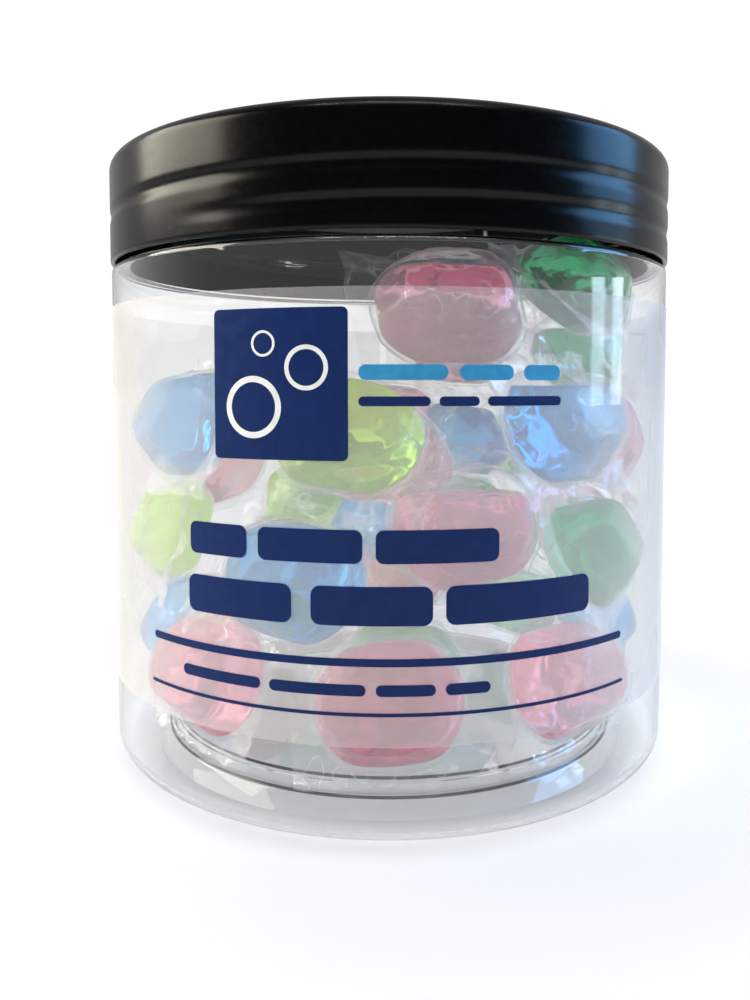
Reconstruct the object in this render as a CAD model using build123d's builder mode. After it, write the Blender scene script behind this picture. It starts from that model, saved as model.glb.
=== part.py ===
from build123d import *
import os
from math import cos, degrees, radians, sin

import numpy as np
from scipy.optimize import linprog

# A clear screw-top tub of laundry pods: a blow-moulded jar, a metal lid with a rolled thread, a foam liner,
# a wrap-round film label and a loose heap of pods. Millimetres, +Z up, the front towards -Y, and the origin
# on the table at the middle of the base.

# Jar
BODY_RADIUS = 50.0
BODY_WALL = 0.8
SHOULDER_HEIGHT = 84.4
HEEL_ROUND = 4.5
FOOT_WIDTH = 3.1
PANEL_DRAFT = 3.0
PANEL_HEIGHT = 5.4
NECK_HEIGHT = 16.4
NECK_WALL = 1.2

# Lid, liner and the room between them and the jar
LID_OVERHANG = 0.2
LID_WALL = 0.5
LID_ROUND = 2.0
LID_GAP = 0.6
LINER_THICKNESS = 1.2
LINER_CLEARANCE = 0.3
LINER_GAP = 0.05
SEAL_GAP = 0.1

# Thread: the lid's rolled ridge and the neck's thread share the pitch, start and flank slope
THREAD_PITCH = 5.0
THREAD_START_ANGLE = -130.0
THREAD_RISE = 3.3
LID_THREAD_TURNS = 1.4
NECK_THREAD_TURNS = 0.75
FLANK_SLOPE = 0.9
GROOVE_DEPTH = 1.1
CREST_CLEARANCE = 0.4
ROOT_CLEARANCE = 0.4
FLANK_CLEARANCE = 0.3
THREAD_BITE = 0.2

# Label, with the clear margins left between it and the heel's and the shoulder's rounds
LABEL_BOTTOM_MARGIN = 10.3
LABEL_TOP_MARGIN = 5.2
LABEL_THICKNESS = 0.12
LABEL_GLUE = 0.03
LABEL_SEAM = 1.5

# Pod: a pillow with cut corners at its seam, a deep dome over the seam, a shallow back under it and a skirt
# of cut film round it
POD_LENGTH = 23.5
POD_WIDTH = 19.0
POD_CORNER = 5.0
DOME_HEIGHT = 8.5
DOME_DRAW = 4.5
BACK_HEIGHT = 4.5
BACK_DRAW = 3.5
SKIRT_WIDTH = 1.3
SEAM_THICKNESS = 0.6

# Heap: the room left round each pod, and the empty height kept under the rim
POD_GAP = 0.3
HEADSPACE = 11.0

# Each pod of the heap, from the bottom up: its colour, its bearing from the front (positive to the right),
# how far out it lies (1 is against the wall), its spin about its own dome and how far the dome leans out
POD_PLACES = [
    ("pink", -47, 1.0, 85, 72),
    ("pink", 0, 1.0, 95, 62),
    ("pink", 45, 1.0, 88, 76),
    ("blue", 90, 1.0, 75, 66),
    ("green", 135, 1.0, 95, 60),
    ("lime", 180, 1.0, 85, 72),
    ("pink", -137, 1.0, 100, 65),
    ("blue", -92, 1.0, 80, 64),
    ("green", 30, 0.15, 40, 0),
    ("blue", -22, 1.0, 80, 56),
    ("pink", 17, 1.0, 98, 60),
    ("lime", -78, 1.0, 95, 74),
    ("green", 62, 1.0, 100, 62),
    ("pink", 110, 1.0, 85, 66),
    ("blue", 157, 1.0, 80, 58),
    ("green", -157, 1.0, 95, 68),
    ("pink", -116, 1.0, 85, 62),
    ("pink", 180, 0.15, 10, 0),
    ("lime", -9, 1.0, 80, 50),
    ("blue", -58, 1.0, 95, 66),
    ("blue", 44, 1.0, 92, 68),
    ("pink", 86, 1.0, 90, 64),
    ("lime", 132, 1.0, 80, 60),
    ("pink", 180, 1.0, 95, 66),
    ("blue", -136, 1.0, 85, 62),
    ("blue", 0, 0.15, 40, 5),
    ("pink", 14, 1.0, 92, 55),
    ("green", 56, 1.0, 90, 40),
    ("green", 104, 1.0, 80, 50),
    ("pink", 155, 1.0, 95, 60),
    ("green", 120, 0.45, 90, 30),
    ("lime", -120, 0.45, 90, 30),
    ("pink", 0, 0.45, 90, 10),
    ("blue", 120, 0.45, 90, 10),
    ("pink", -120, 0.45, 90, 10),
]

# Levels and radii that follow from the sizes above
BODY_INNER_RADIUS = BODY_RADIUS - BODY_WALL
FOOT_INNER_RADIUS = BODY_RADIUS - HEEL_ROUND - FOOT_WIDTH
PANEL_RADIUS = FOOT_INNER_RADIUS - PANEL_DRAFT
RIM_HEIGHT = SHOULDER_HEIGHT + NECK_HEIGHT
LID_BOTTOM = SHOULDER_HEIGHT + LID_GAP
LINER_BOTTOM = RIM_HEIGHT + SEAL_GAP
LID_CEILING = LINER_BOTTOM + LINER_THICKNESS + LINER_GAP
LID_TOP = LID_CEILING + LID_WALL
LID_RADIUS = BODY_RADIUS + LID_OVERHANG
LID_INNER_RADIUS = LID_RADIUS - LID_WALL
GROOVE_FLOOR_RADIUS = LID_RADIUS - GROOVE_DEPTH
RIDGE_CREST_RADIUS = GROOVE_FLOOR_RADIUS - LID_WALL
NECK_CREST_RADIUS = LID_INNER_RADIUS - CREST_CLEARANCE
NECK_RADIUS = RIDGE_CREST_RADIUS - ROOT_CLEARANCE
NECK_INNER_RADIUS = NECK_RADIUS - NECK_WALL
SHOULDER_ROUND = BODY_RADIUS - NECK_RADIUS
LID_THREAD_HEIGHT = LID_BOTTOM + THREAD_RISE
THREAD_OVERLAP = NECK_CREST_RADIUS - RIDGE_CREST_RADIUS
NECK_THREAD_HEIGHT = LID_THREAD_HEIGHT + FLANK_SLOPE * THREAD_OVERLAP + FLANK_CLEARANCE
BASE_FLOOR = PANEL_HEIGHT + BODY_WALL
LABEL_BOTTOM = HEEL_ROUND + LABEL_BOTTOM_MARGIN
LABEL_HEIGHT = SHOULDER_HEIGHT - SHOULDER_ROUND - LABEL_TOP_MARGIN - LABEL_BOTTOM
FILL_LINE = RIM_HEIGHT - HEADSPACE

# Flats in place of each rounded corner of the turned walls: more where the corner shows, as at the heel
SHOWN_FLAT_COUNT = 2
PLAIN_FLAT_COUNT = 1

os.makedirs("parts", exist_ok=True)


def eased_corner(centre, radius, first_angle, last_angle, flats):
    """Points that ease a turned corner with a few flats along an arc, given its centre and end angles."""
    points = []
    for step in range(flats + 1):
        angle = radians(first_angle + (last_angle - first_angle) * step / flats)
        points.append((centre[0] + radius * cos(angle), centre[1] + radius * sin(angle)))
    return points


def helical_bar(crest_radius, foot_radius, height, turns):
    """A V-shaped bar along the thread's helix, widening from its crest to its foot."""
    foot_half_width = FLANK_SLOPE * abs(foot_radius - crest_radius)
    with BuildPart() as bar:
        with BuildLine():
            Helix(THREAD_PITCH, THREAD_PITCH * turns, crest_radius, center=(0, 0, height))
        with BuildSketch(Plane.XZ):
            Polygon(
                (crest_radius, height),
                (foot_radius, height + foot_half_width),
                (foot_radius, height - foot_half_width),
                align=None,
            )
        sweep(is_frenet=True)
    return bar.part.rotate(Axis.Z, THREAD_START_ANGLE)


neck_bar = helical_bar(NECK_CREST_RADIUS, NECK_RADIUS - THREAD_BITE, NECK_THREAD_HEIGHT, NECK_THREAD_TURNS)
ridge_bar = helical_bar(
    RIDGE_CREST_RADIUS, LID_INNER_RADIUS + THREAD_BITE, LID_THREAD_HEIGHT, LID_THREAD_TURNS
)
groove_bar = helical_bar(GROOVE_FLOOR_RADIUS, LID_RADIUS + THREAD_BITE, LID_THREAD_HEIGHT, LID_THREAD_TURNS)

# Jar: one turned wall from the pushed-up base to the rim, with the thread added round the neck
HEEL_CENTRE = (BODY_RADIUS - HEEL_ROUND, HEEL_ROUND)
SHOULDER_CENTRE = (BODY_RADIUS - SHOULDER_ROUND, SHOULDER_HEIGHT - SHOULDER_ROUND)
with BuildPart() as jar:
    with BuildSketch(Plane.XZ):
        with BuildLine():
            Polyline(
                (0, PANEL_HEIGHT),
                (PANEL_RADIUS, PANEL_HEIGHT),
                (FOOT_INNER_RADIUS, 0),
                *eased_corner(HEEL_CENTRE, HEEL_ROUND, -90, 0, SHOWN_FLAT_COUNT),
                *eased_corner(SHOULDER_CENTRE, SHOULDER_ROUND, 0, 90, PLAIN_FLAT_COUNT),
                (NECK_RADIUS, RIM_HEIGHT),
                (NECK_INNER_RADIUS, RIM_HEIGHT),
                (NECK_INNER_RADIUS, SHOULDER_HEIGHT - BODY_WALL),
                (BODY_INNER_RADIUS, SHOULDER_HEIGHT - SHOULDER_ROUND),
                *eased_corner(HEEL_CENTRE, HEEL_ROUND - BODY_WALL, 0, -90, PLAIN_FLAT_COUNT),
                (FOOT_INNER_RADIUS + BODY_WALL, BODY_WALL),
                (PANEL_RADIUS + BODY_WALL, BASE_FLOOR),
                (0, BASE_FLOOR),
                close=True,
            )
        make_face()
    revolve(axis=Axis.Z)
    add(neck_bar)
jar.part.label = "jar"
export_step(jar.part, "parts/jar.step")

# Lid: a drawn cup with a rounded top edge. Rolling the thread pushes the wall in, so the groove outside is
# a ridge inside
LID_ROUND_CENTRE = (LID_RADIUS - LID_ROUND, LID_TOP - LID_ROUND)
with BuildPart() as lid:
    with BuildSketch(Plane.XZ):
        with BuildLine():
            Polyline(
                (0, LID_TOP),
                *eased_corner(LID_ROUND_CENTRE, LID_ROUND, 90, 0, SHOWN_FLAT_COUNT),
                (LID_RADIUS, LID_BOTTOM),
                (LID_INNER_RADIUS, LID_BOTTOM),
                *eased_corner(LID_ROUND_CENTRE, LID_ROUND - LID_WALL, 0, 90, PLAIN_FLAT_COUNT),
                (0, LID_CEILING),
                close=True,
            )
        make_face()
    revolve(axis=Axis.Z)
    add(ridge_bar)
    add(groove_bar, mode=Mode.SUBTRACT)
lid.part.label = "lid"
export_step(lid.part, "parts/lid.step")

# Liner: a foam disc under the lid's ceiling, clear of its rounded corner
with BuildPart() as liner:
    with BuildSketch(Plane.XY.offset(LINER_BOTTOM)):
        Circle(LID_INNER_RADIUS - (LID_ROUND - LID_WALL) - LINER_CLEARANCE)
    extrude(amount=LINER_THICKNESS)
liner.part.label = "liner"
export_step(liner.part, "parts/liner.step")

# Label: film wrapped round the body, with its two ends a little apart at the back
LABEL_INNER_RADIUS = BODY_RADIUS + LABEL_GLUE
SEAM_ANGLE = degrees(LABEL_SEAM / LABEL_INNER_RADIUS)
with BuildPart() as label:
    with BuildSketch(Plane.XZ.rotated((0, 0, 90 + SEAM_ANGLE / 2))):
        with Locations((LABEL_INNER_RADIUS, LABEL_BOTTOM)):
            Rectangle(LABEL_THICKNESS, LABEL_HEIGHT, align=(Align.MIN, Align.MIN))
    revolve(axis=Axis.Z, revolution_arc=360 - SEAM_ANGLE)
label.part.label = "label"
export_step(label.part, "parts/label.step")


def rectangle_at(draw, height):
    """Corners of the pod's plan, drawn in on every side, as a plain rectangle at one height."""
    half_length = POD_LENGTH / 2 - draw
    half_width = POD_WIDTH / 2 - draw
    return [(x, y, height) for x in (-half_length, half_length) for y in (-half_width, half_width)]


def seam_at(height):
    """Corners of the pod's seam at one height: its plan with the corners cut off."""
    long_share = 1 - 2 * POD_CORNER / POD_LENGTH
    wide_share = 1 - 2 * POD_CORNER / POD_WIDTH
    plan = rectangle_at(0, height)
    return [(x * long_share, y, z) for x, y, z in plan] + [(x, y * wide_share, z) for x, y, z in plan]


# The pod is three convex pieces: its dome, its back, and the skirt that thins out from the seam
SEAM_TOP = seam_at(SEAM_THICKNESS / 2)
SEAM_BOTTOM = seam_at(-SEAM_THICKNESS / 2)
POD_PIECES = (
    SEAM_TOP + rectangle_at(DOME_DRAW, DOME_HEIGHT),
    SEAM_BOTTOM + rectangle_at(BACK_DRAW, -BACK_HEIGHT),
    SEAM_TOP + SEAM_BOTTOM + rectangle_at(-SKIRT_WIDTH, 0),
)
with BuildPart() as pod:
    for piece in POD_PIECES:
        ConvexPolyhedron(piece)


def turned(points, turn):
    """Points turned by a location."""
    return np.array([tuple((turn * Pos(*point)).position) for point in points])


def push_out(points, bearing, limit):
    """How far along a bearing the points can move before one of them meets a wall of this radius."""
    along = points[:, :2] @ bearing
    across_squared = (points[:, :2] ** 2).sum(axis=1) - along**2
    return (np.sqrt(limit**2 - across_squared) - along).min()


def plans_meet(first, second):
    """Whether the boxes round two sets of points overlap, seen from above."""
    first_low, first_high = first[:, :2].min(axis=0), first[:, :2].max(axis=0)
    second_low, second_high = second[:, :2].min(axis=0), second[:, :2].max(axis=0)
    return (first_low <= second_high).all() and (second_low <= first_high).all()


def free_fall(falling, resting):
    """How far one convex set of points falls before it meets another, or infinity if it passes by.

    The fall is the least for which a weighted mean of the falling points, lowered by it, is also a weighted
    mean of the resting points.
    """
    falling_count, resting_count = len(falling), len(resting)
    columns = 1 + falling_count + resting_count
    conditions = np.zeros((5, columns))
    conditions[2, 0] = -1
    conditions[:3, 1 : 1 + falling_count] = falling.T
    conditions[:3, 1 + falling_count :] = -resting.T
    conditions[3, 1 : 1 + falling_count] = 1
    conditions[4, 1 + falling_count :] = 1
    cost = np.zeros(columns)
    cost[0] = 1
    answer = linprog(cost, A_eq=conditions, b_eq=[0, 0, 0, 1, 1])
    return answer.fun if answer.success else float("inf")


def settle(pieces, heap):
    """Lower a pod's pieces from the rim until they lie a gap above the base and the heap."""
    points = np.vstack(pieces)
    lift = RIM_HEIGHT - points[:, 2].min()
    raised = [piece + (0, 0, lift) for piece in pieces]
    fall = RIM_HEIGHT - BASE_FLOOR
    for piece in raised:
        for resting in heap:
            if plans_meet(piece, resting):
                fall = min(fall, free_fall(piece, resting))
    return lift - fall + POD_GAP


# Heap: each pod is turned, pushed out towards the wall, and let down on the base or on the pods below it
heap = []
for number, (colour, bearing, reach, spin, lean) in enumerate(POD_PLACES, start=1):
    turn = Rotation(0, 0, bearing - 90) * Rotation(0, lean, 0) * Rotation(0, 0, spin)
    direction = np.array([sin(radians(bearing)), -cos(radians(bearing))])
    turned_pieces = [turned(piece, turn) for piece in POD_PIECES]
    for wall_radius in (BODY_INNER_RADIUS, NECK_INNER_RADIUS):
        shift = direction * push_out(np.vstack(turned_pieces), direction, wall_radius - POD_GAP) * reach
        shifted = [piece + (*shift, 0) for piece in turned_pieces]
        height = settle(shifted, heap)
        crown = max(piece[:, 2].max() for piece in shifted) + height
        if crown < SHOULDER_HEIGHT - BODY_WALL - SHOULDER_ROUND:
            break
    if crown > FILL_LINE:
        continue
    heap += [piece + (0, 0, height) for piece in shifted]
    with BuildPart() as placed_pod:
        with Locations(Pos(*shift, height) * turn):
            add(pod.part)
    pod_name = f"pod_{number:02d}_{colour}"
    placed_pod.part.label = pod_name
    export_step(placed_pod.part, f"parts/{pod_name}.step")
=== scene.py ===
"""Laundry pod tub: a clear screw-top jar with a black lid, a milky label and a heap of gel pods."""
import math

import bpy
from mathutils import Matrix, Vector, noise


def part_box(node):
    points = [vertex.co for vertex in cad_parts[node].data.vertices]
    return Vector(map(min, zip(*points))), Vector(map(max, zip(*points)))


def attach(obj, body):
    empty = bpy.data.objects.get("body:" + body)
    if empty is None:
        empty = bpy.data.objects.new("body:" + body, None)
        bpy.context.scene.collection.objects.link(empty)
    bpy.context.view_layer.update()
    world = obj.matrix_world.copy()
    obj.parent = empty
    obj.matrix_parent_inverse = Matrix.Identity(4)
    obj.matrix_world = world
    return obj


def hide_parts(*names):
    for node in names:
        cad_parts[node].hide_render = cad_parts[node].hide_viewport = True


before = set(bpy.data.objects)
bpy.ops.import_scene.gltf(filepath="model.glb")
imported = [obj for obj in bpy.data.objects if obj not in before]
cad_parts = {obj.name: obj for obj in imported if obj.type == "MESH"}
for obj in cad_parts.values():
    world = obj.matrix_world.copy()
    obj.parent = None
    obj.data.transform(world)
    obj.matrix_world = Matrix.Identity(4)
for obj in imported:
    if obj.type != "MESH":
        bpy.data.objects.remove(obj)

bl_info = {
    "name": "Laundry Pod Tub",
    "version": (1, 0, 0),
    "blender": (4, 5, 0),
    "location": "View3D > Sidebar > Pod Tub",
    "description": "Models the jar, lid, label and pods of a laundry pod tub and the stage it stands on",
    "category": "Add Mesh",
}

MM = 0.001
FULL_TURN = 2 * math.pi

# Bearing of the label's front
FRONT = -math.pi / 2

# Where the packed solids are
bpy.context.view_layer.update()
JAR_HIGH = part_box("jar")[1]
LID_LOW, LID_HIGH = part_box("lid")
LABEL_LOW, LABEL_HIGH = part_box("label")
POD_NODES = sorted(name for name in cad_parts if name.startswith("pod_"))

# How finely round shapes are divided
JAR_STEPS = 144
LID_STEPS = 180
LABEL_STEPS = 180
ARC_STEPS = 8
THREAD_LOOP = 0.35 * MM
BODY_LOOP = 6 * MM
MERGE_DISTANCE = 0.002 * MM

# Edges sharper than these stay crisp
SMOOTH_ANGLE = math.radians(50)
JAR_SMOOTH_ANGLE = math.radians(35)

# Least cosine at a moved line's corner, so that a sharp one isn't stretched far
CORNER_LIMIT = 0.5


# Sizes and colours


def length(name, description, default):
    """A length for the sidebar."""
    return bpy.props.FloatProperty(
        name=name, description=description, default=default, min=0.0, precision=5, unit="LENGTH"
    )


def share(name, description, default):
    """A number from 0 to 1 for the sidebar."""
    return bpy.props.FloatProperty(
        name=name, description=description, default=default, min=0.0, max=1.0, subtype="FACTOR"
    )


def turn_count(name, description, default):
    """A number of turns for the sidebar."""
    return bpy.props.FloatProperty(name=name, description=description, default=default, min=0.0)


def degrees(name, description, default):
    """An angle for the sidebar, with its default in degrees."""
    return bpy.props.FloatProperty(
        name=name, description=description, default=math.radians(default), subtype="ANGLE"
    )


def colour(name, description, default):
    """A colour for the sidebar."""
    return bpy.props.FloatVectorProperty(
        name=name, description=description, default=default, size=3, min=0.0, max=1.0, subtype="COLOR"
    )


class ThreadSizes(bpy.types.PropertyGroup):
    """The screw thread that the lid and the neck share."""

    pitch: length("Pitch", "Rise of the thread in one turn", 5 * MM)
    start: degrees("Start", "Bearing where both threads start", -130)
    depth: length("Depth", "How far the ridge stands out of its wall", 1.1 * MM)
    half_width: length("Half width", "Half of the ridge's width at its foot", 0.99 * MM)
    lid_turns: turn_count("Lid turns", "Length of the lid's thread", 1.4)
    neck_turns: turn_count("Neck turns", "Length of the neck's thread", 0.75)
    lid_rise: length("Lid rise", "Start of the lid's thread above the lid's lower edge", 3.3 * MM)
    neck_offset: length("Neck offset", "How far the neck's ridge lies above the lid's", 0.93 * MM)
    run_out: turn_count("Run out", "Part of a turn over which an end fades", 0.07)


class JarSizes(bpy.types.PropertyGroup):
    """The clear jar."""

    radius: length("Radius", "Outside of the straight body", JAR_HIGH.x)
    wall: length("Wall", "Thickness of the body's wall", 0.8 * MM)
    heel_round: length("Heel round", "Radius of the rounded heel", 4.5 * MM)
    foot_width: length("Foot width", "Width of the ring that the jar stands on", 3.1 * MM)
    panel_height: length("Panel height", "Height of the pushed-up base", 5.4 * MM)
    panel_draft: length("Panel draft", "How far the base's slope leans in", 3 * MM)
    step_height: length("Step height", "Height of the ring step in the base's slope", 3.2 * MM)
    shoulder_height: length("Shoulder height", "Where the neck starts", LID_LOW.z - 0.6 * MM)
    shoulder_round: length("Shoulder round", "Radius of the body's top edge", 0.9 * MM)
    neck_radius: length("Neck radius", "Outside of the neck", 48.2 * MM)
    neck_wall: length("Neck wall", "Thickness of the neck's wall", 1.2 * MM)
    rim_round: length("Rim round", "Radius of the rim's two edges", 0.45 * MM)
    tint: colour("Tint", "Colour of the clear plastic", (0.965, 0.975, 0.985))


class LidSizes(bpy.types.PropertyGroup):
    """The black screw lid."""

    wall: length("Wall", "Thickness of the sheet", 0.5 * MM)
    edge_round: length("Edge round", "Radius of the top edge", 2 * MM)
    bead: length("Bead", "Radius of the rolled lower edge", 0.42 * MM)
    groove_half_width: length("Groove half width", "Half of the groove's width outside", 1.6 * MM)
    groove_depth: length("Groove depth", "Depth of the groove outside", 0.22 * MM)
    paint: colour("Paint", "Colour of the lid", (0.0015, 0.0018, 0.0018))


class LabelLook(bpy.types.PropertyGroup):
    """The film label and its print."""

    film: colour("Film", "Colour of the milky film", (0.90, 0.88, 0.87))
    cover: share("Cover", "How much each face of the film hides at its top edge", 0.15)
    low_cover: share("Low cover", "How much each face of the film hides at its bottom edge", 0.21)
    thickness: length("Thickness", "Thickness of the film", 0.12 * MM)
    seam: length("Seam", "Gap between the label's ends at the back", 1.5 * MM)
    navy: colour("Navy", "Main ink", (0.006, 0.024, 0.12))
    sky: colour("Sky", "Second ink", (0.045, 0.31, 0.60))
    ink_thickness: length("Ink", "Thickness of a layer of ink", 0.015 * MM)


class PodLook(bpy.types.PropertyGroup):
    """The gel pods and their film."""

    half_length: length("Half length", "Half of a pouch's length inside its seam", 11.6 * MM)
    half_width: length("Half width", "Half of a pouch's width inside its seam", 9.35 * MM)
    dome: length("Dome", "Height of the pouch above its seam", 8.3 * MM)
    back: length("Back", "Depth of the pouch below its seam", 4.35 * MM)
    corner: length("Corner", "How far the pouch's four corners are cut back", 5 * MM)
    dome_draw: length("Dome draw", "How far the dome's sides lean in", 4.5 * MM)
    back_draw: length("Back draw", "How far the back's sides lean in", 3.5 * MM)
    seam_from_back: length("Seam from back", "Seam's height above the pod's back face", 4.5 * MM)
    skirt: length("Skirt", "Width of the loose film round the seam", 3.2 * MM)
    flutter: length("Flutter", "How far the loose film waves", 2.4 * MM)
    pink: colour("Pink", "Pink gel", (1.0, 0.34, 0.47))
    blue: colour("Blue", "Blue gel", (0.01, 0.42, 0.86))
    green: colour("Green", "Green gel", (0.03, 0.50, 0.20))
    lime: colour("Lime", "Lime gel", (0.56, 1.0, 0.05))


class StageLook(bpy.types.PropertyGroup):
    """Floor, light and camera."""

    floor: colour("Floor", "Colour of the floor near the tub", (0.93, 0.925, 0.94))
    room_level: share("Room", "Brightness of the room", 0.55)
    room_dark: share("Dark side", "Brightness of the room's front", 0.01)
    key_power: bpy.props.FloatProperty(
        name="Key", description="Power of the softbox above the front", default=1.8, min=0.0, unit="POWER"
    )
    camera_distance: length("Camera distance", "Camera to the tub's axis", 167.7 * MM)
    camera_height: length("Camera height", "Camera above the floor", 64.2 * MM)
    camera_tilt: degrees("Camera tilt", "How far the camera looks down", 2.91)


# Modelling helpers


def clear_selection():
    """Leaves edit mode and deselects every object."""
    if bpy.context.object and bpy.context.object.mode != "OBJECT":
        bpy.ops.object.mode_set(mode="OBJECT")
    bpy.ops.object.select_all(action="DESELECT")


def select_alone(obj):
    """Selects one object alone and makes it the active one."""
    clear_selection()
    obj.select_set(True)
    bpy.context.view_layer.objects.active = obj


def begin_edit(obj):
    """Opens one object alone with all of its mesh selected."""
    select_alone(obj)
    bpy.ops.object.mode_set(mode="EDIT")
    bpy.ops.mesh.select_all(action="SELECT")


def end_edit():
    """Merges doubles, turns the faces outwards and leaves edit mode."""
    bpy.ops.mesh.select_all(action="SELECT")
    bpy.ops.mesh.remove_doubles(threshold=MERGE_DISTANCE)
    bpy.ops.mesh.normals_make_consistent(inside=False)
    bpy.ops.object.mode_set(mode="OBJECT")


def named(name):
    """Names the object that was just added, and its mesh."""
    obj = bpy.context.object
    obj.name = name
    obj.data.name = name
    return obj


def apply_modifier(obj, kind, **settings):
    """Adds a modifier, sets it up and applies it."""
    select_alone(obj)
    modifier = obj.modifiers.new(kind.title(), kind)
    for setting, value in settings.items():
        setattr(modifier, setting, value)
    bpy.ops.object.modifier_apply(modifier=modifier.name)


def smooth(obj, sharpest=SMOOTH_ANGLE):
    """Shades the object smooth, apart from edges sharper than an angle."""
    select_alone(obj)
    bpy.ops.object.shade_smooth_by_angle(angle=sharpest)


def draw_line(name, points):
    """Draws a line of edges through (radius, height) points, and stays in edit mode."""
    clear_selection()
    bpy.ops.mesh.primitive_plane_add(size=MM, location=(0, 0, 0))
    obj = named(name)
    begin_edit(obj)
    bpy.ops.mesh.merge(type="CENTER")
    bpy.ops.transform.translate(value=(points[0][0], 0, points[0][1]))
    for here, there in zip(points, points[1:]):
        step = (there[0] - here[0], 0, there[1] - here[1])
        bpy.ops.mesh.extrude_vertices_move(TRANSFORM_OT_translate={"value": step})
    return obj


def turn(name, points, steps, sweep=FULL_TURN):
    """Turns a profile about the upright axis."""
    obj = draw_line(name, points)
    bpy.ops.mesh.select_all(action="SELECT")
    bpy.ops.mesh.spin(steps=steps, angle=sweep, center=(0, 0, 0), axis=(0, 0, 1))
    end_edit()
    return obj


def arc(centre, radius, start, end):
    """Points on an arc in the profile's plane, from one bearing in degrees to another."""
    bearings = [math.radians(start + (end - start) * i / ARC_STEPS) for i in range(ARC_STEPS + 1)]
    return [(centre[0] + radius * math.cos(b), centre[1] + radius * math.sin(b)) for b in bearings]


def climb(radius, bottom, top, loop):
    """Points up a straight wall, both ends included."""
    count = max(1, round(abs(top - bottom) / loop))
    return [(radius, bottom + (top - bottom) * i / count) for i in range(count + 1)]


def offset_line(points, distance):
    """The same line moved to its left by a distance, with corners kept."""
    moved = []
    for i, (x, z) in enumerate(points):
        before = points[max(i - 1, 0)]
        after = points[min(i + 1, len(points) - 1)]
        along_in = Vector((x - before[0], z - before[1])) if i else Vector((after[0] - x, after[1] - z))
        along_out = Vector((after[0] - x, after[1] - z)) if i < len(points) - 1 else along_in
        left_in = Vector((-along_in.y, along_in.x)).normalized()
        left_out = Vector((-along_out.y, along_out.x)).normalized()
        middle = (left_in + left_out).normalized()
        reach = distance / max(middle.dot(left_in), CORNER_LIMIT)
        moved.append((x + middle.x * reach, z + middle.y * reach))
    return moved


def ease(value):
    """0 below 0, 1 above 1 and a smooth rise between."""
    value = min(max(value, 0.0), 1.0)
    return value * value * (3 - 2 * value)


def ridge(place, thread, foot, turns, half_width):
    """How much of the thread's depth a point has: 1 on the crest, 0 beside it, fading at the ends."""
    part_turn = ((math.atan2(place.y, place.x) - thread.start) / FULL_TURN) % 1.0
    climbed = (place.z - foot) / thread.pitch
    turned = part_turn + round(climbed - part_turn)
    aside = abs(climbed - turned) * thread.pitch
    if aside >= half_width:
        return 0.0
    fade = ease(turned / thread.run_out) * ease((turns - turned) / thread.run_out)
    return fade * 0.5 * (1 + math.cos(math.pi * aside / half_width))


def push_out(place, distance):
    """Moves a point away from the upright axis, or towards it where the distance is negative."""
    gain = distance / math.hypot(place.x, place.y)
    place.x += place.x * gain
    place.y += place.y * gain


def finish_piece(obj, body, slot, material, *nodes):
    """Gives a piece its material, hangs it under its body and hides the solids it stands for."""
    obj.data.materials.clear()
    obj.data.materials.append(material)
    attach(obj, body)
    if nodes:
        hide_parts(*nodes)


# Shader nodes


def feed(tree, node, inputs):
    """Feeds a node's inputs: a socket is linked, and a plain number or colour is set."""
    for name, value in inputs.items():
        if isinstance(value, bpy.types.NodeSocket):
            tree.links.new(value, node.inputs[name])
        else:
            node.inputs[name].default_value = value


def add_node(tree, kind, inputs=None, **settings):
    """Adds a shader node, sets it up and feeds it."""
    node = tree.nodes.new("ShaderNode" + kind)
    for setting, value in settings.items():
        setattr(node, setting, value)
    feed(tree, node, inputs or {})
    return node


def calculate(tree, operation, *values):
    """The result of a Math node."""
    return add_node(tree, "Math", dict(enumerate(values)), operation=operation).outputs["Value"]


def blend(tree, factor, first, second):
    """A mix of two colours."""
    inputs = {"Factor": factor, "A": first, "B": second}
    return add_node(tree, "Mix", inputs, data_type="RGBA").outputs["Result"]


def smooth_rise(tree, value, start, end, low=0.0, high=1.0):
    """A value that rises smoothly from low to high between a start and an end."""
    limits = {"Value": value, "From Min": start, "From Max": end, "To Min": low, "To Max": high}
    return add_node(tree, "MapRange", limits, interpolation_type="SMOOTHSTEP").outputs["Result"]


def edge_on(tree, steepness):
    """0 where a face is seen straight on, rising to 1 edge on."""
    slant = add_node(tree, "LayerWeight", {"Blend": 0.5})
    return calculate(tree, "POWER", slant.outputs["Facing"], steepness)


def own_place(tree):
    """The piece's own coordinates."""
    return add_node(tree, "TexCoord").outputs["Object"]


# Shared surface effects

# Where most of the noise lies
NOISE_LOW = 0.3
NOISE_MIDDLE = 0.5
NOISE_HIGH = 0.7


def make_group(name, inputs, output_name, output_kind):
    """An empty shader node group with its sockets."""
    group = bpy.data.node_groups.new(name, "ShaderNodeTree")
    for socket, value in inputs.items():
        made = group.interface.new_socket(socket, in_out="INPUT", socket_type="NodeSocketFloat")
        made.default_value = value
    group.interface.new_socket(output_name, in_out="OUTPUT", socket_type=output_kind)
    return group, group.nodes.new("NodeGroupInput").outputs, group.nodes.new("NodeGroupOutput")


def cloud(group, scale, detail):
    """Soft noise on the piece's own coordinates."""
    inputs = {"Vector": own_place(group), "Scale": scale, "Detail": detail}
    return add_node(group, "TexNoise", inputs).outputs["Fac"]


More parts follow.
